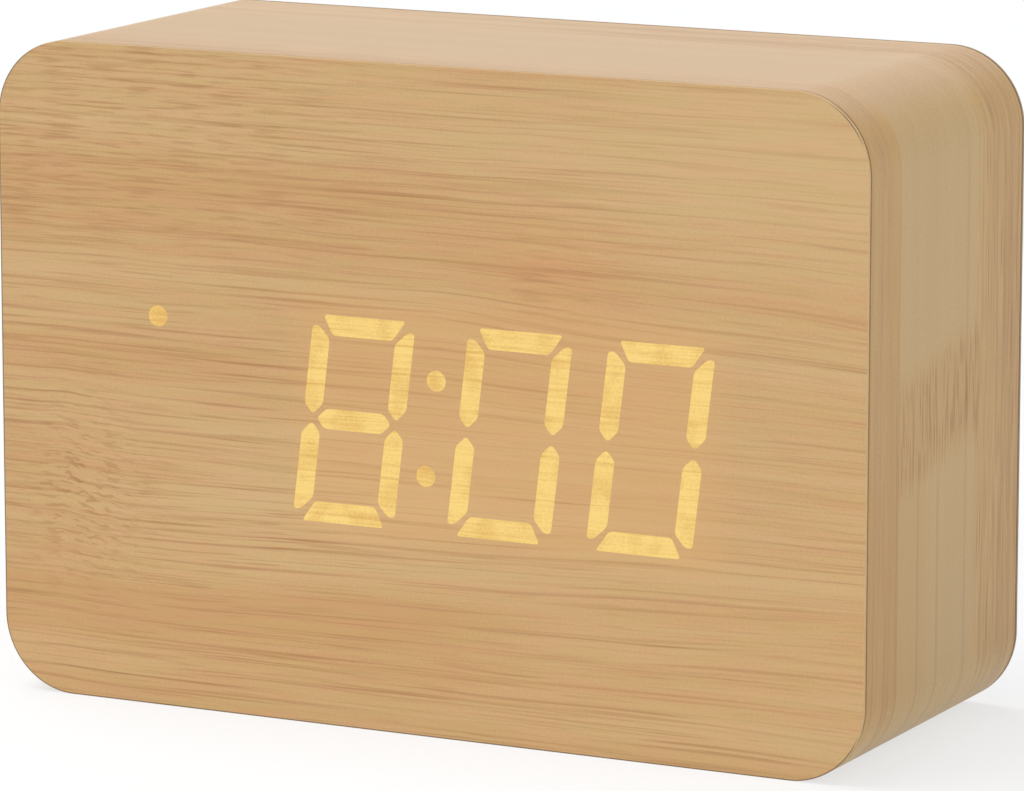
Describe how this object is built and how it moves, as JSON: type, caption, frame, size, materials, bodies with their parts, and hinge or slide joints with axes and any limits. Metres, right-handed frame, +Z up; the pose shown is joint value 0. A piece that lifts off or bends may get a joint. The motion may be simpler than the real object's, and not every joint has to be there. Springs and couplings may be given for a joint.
{
  "type": "digital alarm clock",
  "caption": "Rounded wood-look block clock with slanted glowing digits in its front, push buttons and a battery door in a black back.",
  "frame": {"origin": "middle of the underside, on the surface that the clock stands on", "axes": "+X to the right seen from the front, along the width; +Y from the front face to the back; +Z up"},
  "size_m": [0.1, 0.04, 0.07],
  "materials": {
    "front_film": "satin bamboo-print film",
    "side_film": "satin bamboo-print film",
    "fibreboard": "raw fibreboard",
    "back_plastic": "fine spark-eroded texture",
    "button_plastic": "smooth satin",
    "mask_plastic": "matte",
    "light_guide": "frosted, lit from behind",
    "circuit_board": "solder mask",
    "component_plastic": "moulded epoxy",
    "steel": "zinc plated",
    "contact_metal": "nickel plated",
    "capacitor": "plastic sleeve",
    "cell": "printed sleeve",
    "red_insulation": "smooth",
    "black_insulation": "smooth",
    "ribbon": "smooth"
  },
  "bodies": {
    "root": {"front_film": "front_film", "side_film": "side_film", "rear_film": "side_film", "front_panel": "fibreboard", "case_frame": "fibreboard", "segment_mask": "mask_plastic", "display_board": "circuit_board", "digit_light_1": "light_guide", "digit_light_2": "light_guide", "digit_light_3": "light_guide", "digit_light_4": "light_guide", "colon_light": "light_guide", "alarm_dot_light": "light_guide", "board_screw_1": "steel", "board_screw_2": "steel", "board_screw_3": "steel", "board_screw_4": "steel", "clock_chip": "component_plastic", "crystal_can": "steel", "capacitor": "capacitor", "buzzer": "component_plastic", "back_cover": "back_plastic", "cover_screw_1": "steel", "cover_screw_2": "steel", "cover_screw_3": "steel", "cover_screw_4": "steel", "power_jack": "component_plastic", "button_board": "circuit_board", "button_board_screw_1": "steel", "button_board_screw_2": "steel", "microphone": "steel", "set_button_switch": "component_plastic", "up_button_switch": "component_plastic", "down_button_switch": "component_plastic", "cell_1": "cell", "cell_2": "cell", "cell_3": "cell", "positive_contact": "contact_metal", "link_contact_1": "contact_metal", "link_contact_2": "contact_metal", "negative_contact": "contact_metal", "battery_lead_red": "red_insulation", "battery_lead_black": "black_insulation", "jack_lead_red": "red_insulation", "jack_lead_black": "black_insulation", "ribbon_cable": "ribbon"},
    "door": {"battery_door": "back_plastic"},
    "set": {"set_button": "button_plastic", "set_button_plunger": "component_plastic"},
    "up": {"up_button": "button_plastic", "up_button_plunger": "component_plastic"},
    "down": {"down_button": "button_plastic", "down_button_plunger": "component_plastic"}
  },
  "joints": [
    {"name": "battery_door_hinge", "type": "hinge", "parent": "root", "child": "door", "pos_m": [0, 0.01835, 0.0095], "axis": [-1, 0, 0], "range_deg": [0, 70]},
    {"name": "set_button_press", "type": "slide", "parent": "root", "child": "set", "axis": [0, -1, 0], "range_m": [0, 0.0005], "stiffness_N_per_m": 2500},
    {"name": "up_button_press", "type": "slide", "parent": "root", "child": "up", "axis": [0, -1, 0], "range_m": [0, 0.0005], "stiffness_N_per_m": 2500},
    {"name": "down_button_press", "type": "slide", "parent": "root", "child": "down", "axis": [0, -1, 0], "range_m": [0, 0.0005], "stiffness_N_per_m": 2500}
  ]
}
